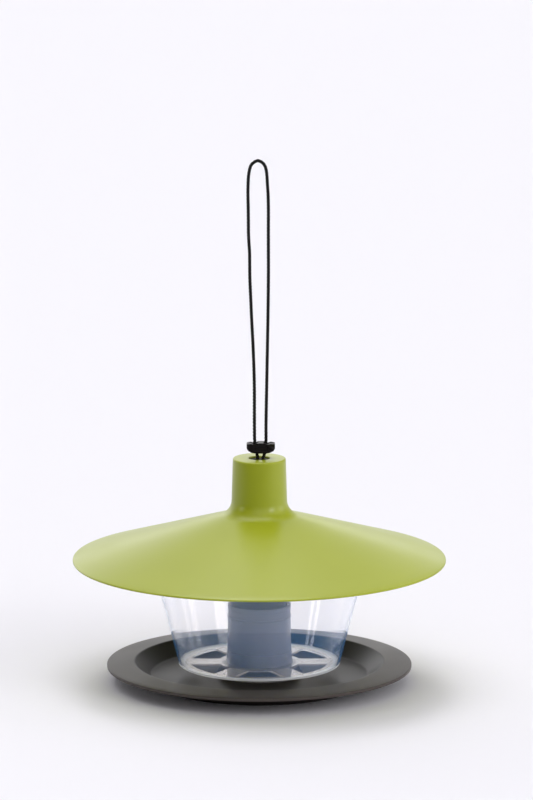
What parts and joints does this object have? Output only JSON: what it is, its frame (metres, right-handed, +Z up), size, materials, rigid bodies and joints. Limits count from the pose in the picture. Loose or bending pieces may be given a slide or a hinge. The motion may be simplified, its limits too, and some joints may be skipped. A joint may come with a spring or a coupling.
{
  "type": "hanging seed feeder",
  "caption": "Hanging gravity seed feeder: dished tray, hollow centre post, clear conical hopper, wide conical roof with a neck, and a cord loop with a sliding stopper.",
  "frame": {"origin": "centre of the tray's foot ring, on the ground plane", "axes": "+Z up along the post's axis, +X through the two strands of the hanging loop, -Y the side the feeder is usually seen from"},
  "size_m": [0.33, 0.33, 0.469],
  "materials": {
    "charcoal_plastic": "satin moulded, fine grain",
    "clear_plastic": "clear, polished",
    "green_plastic": "satin moulded",
    "stopper_plastic": "satin moulded",
    "cord_fibre": "twisted synthetic cord"
  },
  "bodies": {
    "base": {"tray": "charcoal_plastic", "post": "charcoal_plastic", "cord": "cord_fibre", "cord_knots": "cord_fibre"},
    "hopper": {"hopper": "clear_plastic"},
    "roof": {"roof": "green_plastic"},
    "stopper": {"cord_stopper": "stopper_plastic"},
    "loop": {"hanging_loop": "cord_fibre"}
  },
  "joints": [
    {"name": "hopper_lift", "type": "slide", "parent": "base", "child": "hopper", "axis": [0, 0, 1], "range_m": [0, 0.03]},
    {"name": "roof_lift", "type": "slide", "parent": "hopper", "child": "roof", "axis": [0, 0, 1], "range_m": [0, 0.11]},
    {"name": "stopper_slide", "type": "slide", "parent": "roof", "child": "stopper", "axis": [0, 0, 1], "range_m": [0, 0.03]},
    {"name": "loop_lean", "type": "hinge", "parent": "base", "child": "loop", "pos_m": [-0.0008, 0, 0.412], "axis": [1, 0, 0], "range_deg": [-60, 60]}
  ]
}
